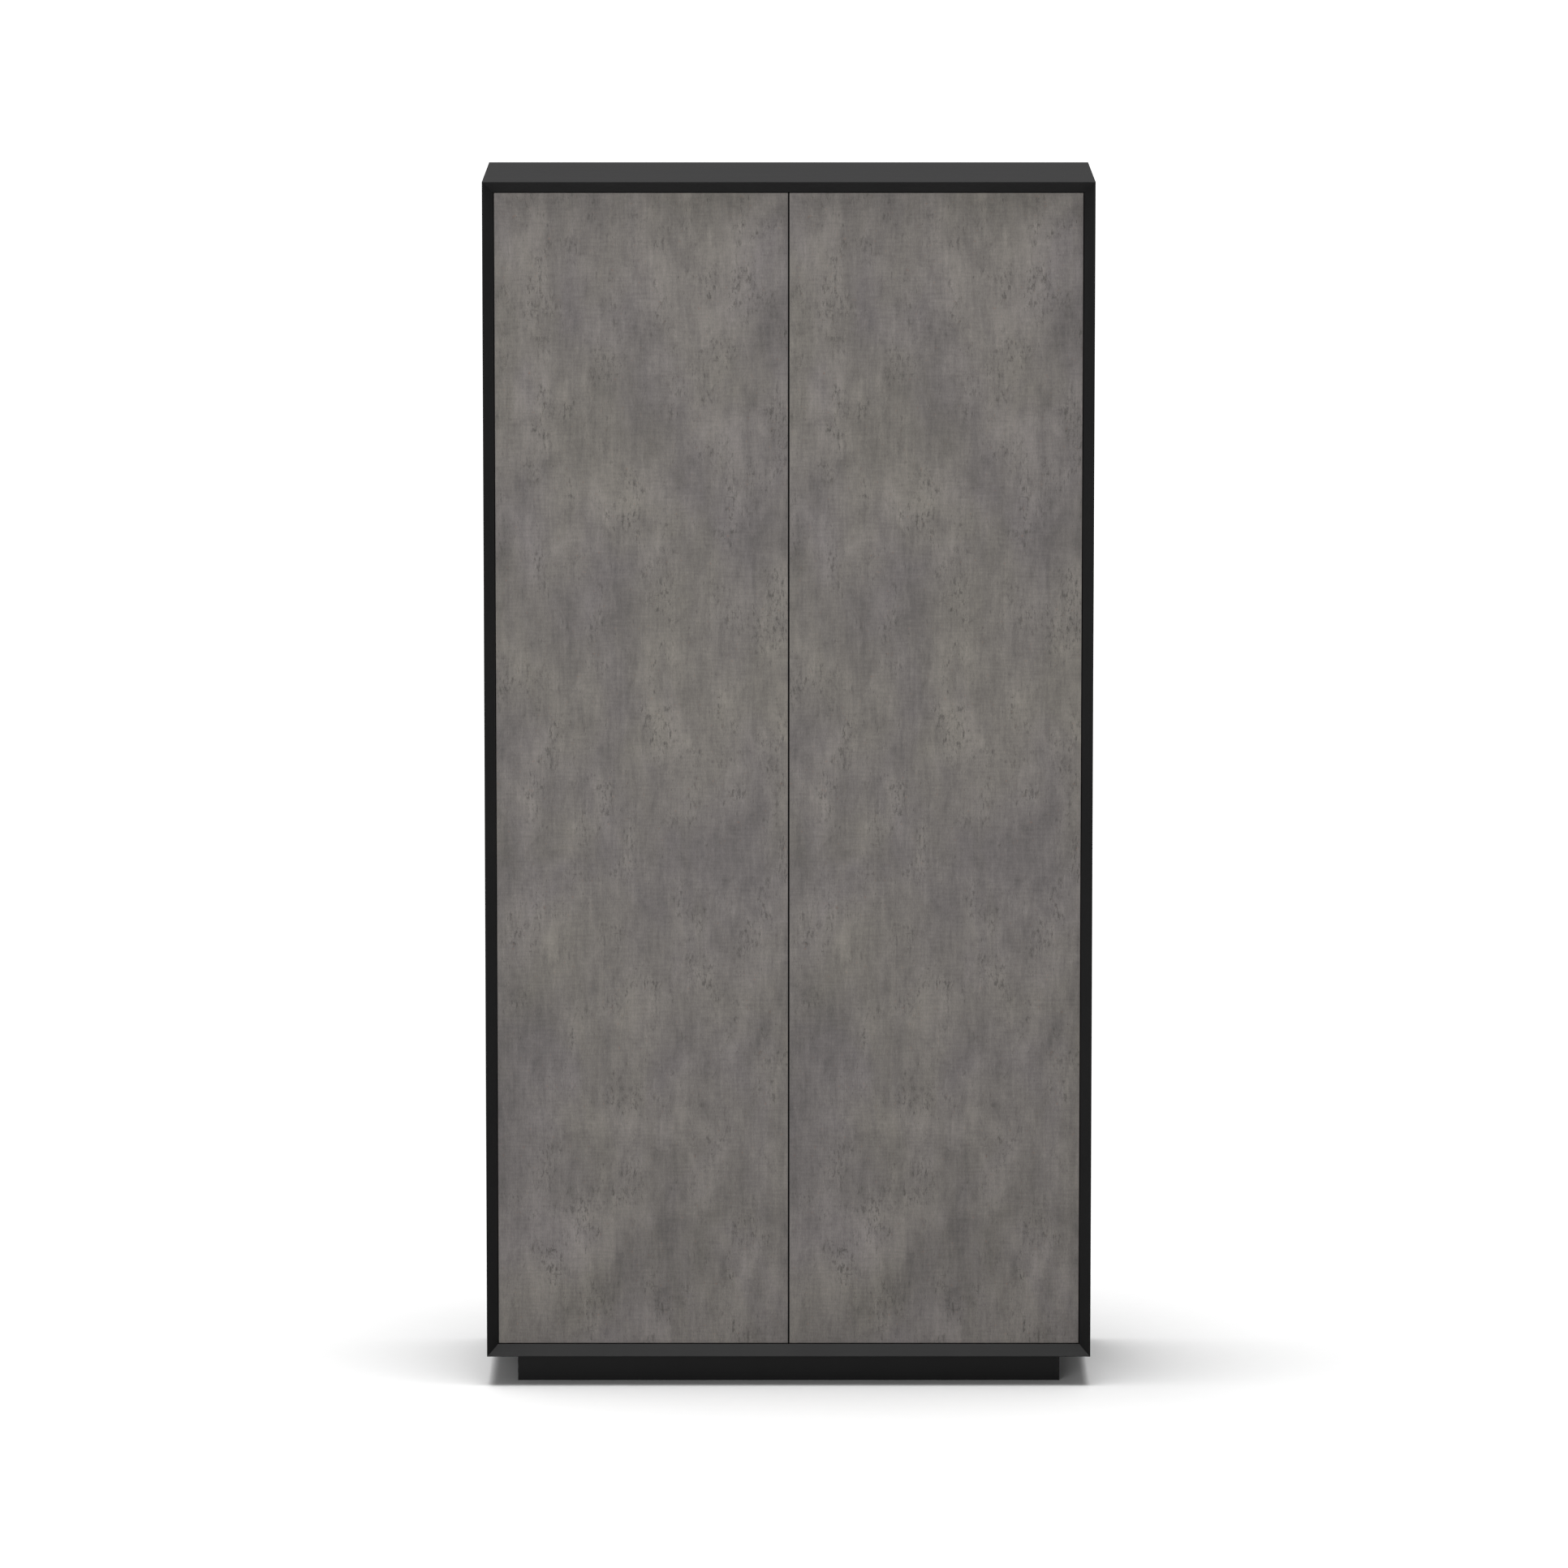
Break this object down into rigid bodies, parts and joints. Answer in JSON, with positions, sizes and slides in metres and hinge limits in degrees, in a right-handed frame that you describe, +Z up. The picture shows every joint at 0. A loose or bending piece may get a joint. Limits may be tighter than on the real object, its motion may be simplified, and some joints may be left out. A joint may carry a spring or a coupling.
{
  "type": "wardrobe with doors",
  "caption": "Tall narrow-depth wardrobe: mitred bevelled carcase on a set-back plinth, recessed handle-less doors, hanging rail behind one and shelves behind the other.",
  "frame": {"origin": "middle of the footprint, on the floor", "axes": "+X to the right for someone facing the doors, +Y towards the back, +Z up; the doors face -Y"},
  "size_m": [1, 0.4, 2],
  "materials": {
    "carcase_board": "matt black melamine on chipboard",
    "back_board": "matt black fibreboard",
    "door_board": "concrete-look decor on chipboard, matt",
    "dowel_wood": "plain beech",
    "rail_chrome": "polished",
    "hinge_steel": "nickel-plated steel",
    "zinc": "zinc-plated steel",
    "grey_plastic": "moulded, matt"
  },
  "bodies": {
    "carcase": {"left_side": "carcase_board", "right_side": "carcase_board", "top_panel": "carcase_board", "bottom_panel": "carcase_board", "back_panel": "back_board", "centre_partition": "carcase_board", "hat_shelf": "carcase_board", "shelf_1": "carcase_board", "shelf_2": "carcase_board", "shelf_3": "carcase_board", "shelf_4": "carcase_board", "shelf_pins": "hinge_steel", "cam_locks": "zinc", "cam_bolts": "zinc", "corner_dowels": "dowel_wood", "partition_dowels": "dowel_wood", "plinth_front": "carcase_board", "plinth_back_rail": "carcase_board", "plinth_left": "carcase_board", "plinth_right": "carcase_board", "plinth_brace": "carcase_board", "plinth_brackets": "zinc", "plinth_screws": "zinc", "clothes_rail": "rail_chrome", "rail_end_caps": "grey_plastic", "rail_brackets": "zinc", "rail_screws": "zinc", "wall_brackets": "zinc", "wall_bracket_screws": "zinc", "latch_housings": "grey_plastic", "latch_screws": "zinc", "left_hinge_plates": "hinge_steel", "right_hinge_plates": "hinge_steel", "left_hinge_arms": "hinge_steel", "right_hinge_arms": "hinge_steel", "left_plate_screws": "zinc", "right_plate_screws": "zinc"},
    "left_door": {"left_door": "door_board", "left_hinge_cups": "hinge_steel", "left_cup_screws": "zinc", "left_catch_plate": "hinge_steel"},
    "left_outer_levers": {"left_outer_levers": "hinge_steel"},
    "left_inner_levers": {"left_inner_levers": "hinge_steel"},
    "left_latch_plunger": {"left_plunger": "hinge_steel", "left_plunger_tip": "grey_plastic"},
    "right_door": {"right_door": "door_board", "right_hinge_cups": "hinge_steel", "right_cup_screws": "zinc", "right_catch_plate": "hinge_steel"},
    "right_outer_levers": {"right_outer_levers": "hinge_steel"},
    "right_inner_levers": {"right_inner_levers": "hinge_steel"},
    "right_latch_plunger": {"right_plunger": "hinge_steel", "right_plunger_tip": "grey_plastic"}
  },
  "joints": [
    {"name": "left_door_hinge", "type": "hinge", "parent": "carcase", "child": "left_door", "pos_m": [-0.472, -0.1775, 1.025], "axis": [0, 0, -1], "range_deg": [0, 95]},
    {"name": "left_outer_lever_pivot", "type": "hinge", "parent": "left_door", "child": "left_outer_levers", "pos_m": [-0.46675, -0.16841, 1.025], "axis": [0, 0, 1], "range_deg": [0, 141.77]},
    {"name": "left_inner_lever_pivot", "type": "hinge", "parent": "left_door", "child": "left_inner_levers", "pos_m": [-0.46994, -0.16925, 1.025], "axis": [0, 0, 1], "range_deg": [0, 132.9]},
    {"name": "left_plunger_slide", "type": "slide", "parent": "carcase", "child": "left_latch_plunger", "axis": [0, -1, 0], "range_m": [0, 0.02001]},
    {"name": "right_door_hinge", "type": "hinge", "parent": "carcase", "child": "right_door", "pos_m": [0.472, -0.1775, 1.025], "axis": [0, 0, 1], "range_deg": [0, 95]},
    {"name": "right_outer_lever_pivot", "type": "hinge", "parent": "right_door", "child": "right_outer_levers", "pos_m": [0.46675, -0.16841, 1.025], "axis": [0, 0, -1], "range_deg": [0, 141.77]},
    {"name": "right_inner_lever_pivot", "type": "hinge", "parent": "right_door", "child": "right_inner_levers", "pos_m": [0.46994, -0.16925, 1.025], "axis": [0, 0, -1], "range_deg": [0, 132.9]},
    {"name": "right_plunger_slide", "type": "slide", "parent": "carcase", "child": "right_latch_plunger", "axis": [0, -1, 0], "range_m": [0, 0.02001]}
  ],
  "couplings": [
    {"joint": "left_outer_lever_pivot", "follows": "left_door_hinge", "ratio": 1.4922},
    {"joint": "left_inner_lever_pivot", "follows": "left_door_hinge", "ratio": 1.3988},
    {"joint": "left_plunger_slide", "follows": "left_door_hinge", "m_per_rad": 0.012062},
    {"joint": "right_outer_lever_pivot", "follows": "right_door_hinge", "ratio": 1.4922},
    {"joint": "right_inner_lever_pivot", "follows": "right_door_hinge", "ratio": 1.3988},
    {"joint": "right_plunger_slide", "follows": "right_door_hinge", "m_per_rad": 0.012062}
  ]
}
